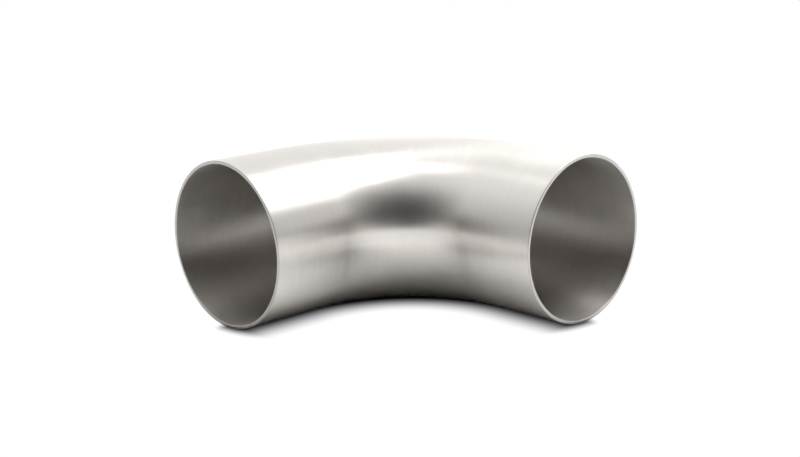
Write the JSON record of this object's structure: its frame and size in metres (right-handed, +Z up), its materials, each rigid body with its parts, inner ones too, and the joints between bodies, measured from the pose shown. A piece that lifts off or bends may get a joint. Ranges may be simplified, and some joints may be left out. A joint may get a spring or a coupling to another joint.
{
  "type": "pipe elbow",
  "caption": "Thin-walled stainless steel pipe elbow, a quarter-turn bend with a short straight weld end each way.",
  "frame": {"origin": "centre of the inlet's end face, on the tube's axis", "axes": "the inlet faces -Y and the outlet faces +X; the plane of the bend is level, with +Z up, square to it"},
  "size_m": [0.206, 0.206, 0.104],
  "materials": {
    "polished_shell": "stainless steel, fine polished outside and satin inside",
    "dressed_weld": "stainless weld metal, ground flush and polished with the tube"
  },
  "bodies": {
    "root": {"upper_half_shell": "polished_shell", "lower_half_shell": "polished_shell", "outer_seam_weld": "dressed_weld", "inner_seam_weld": "dressed_weld"}
  },
  "joints": []
}
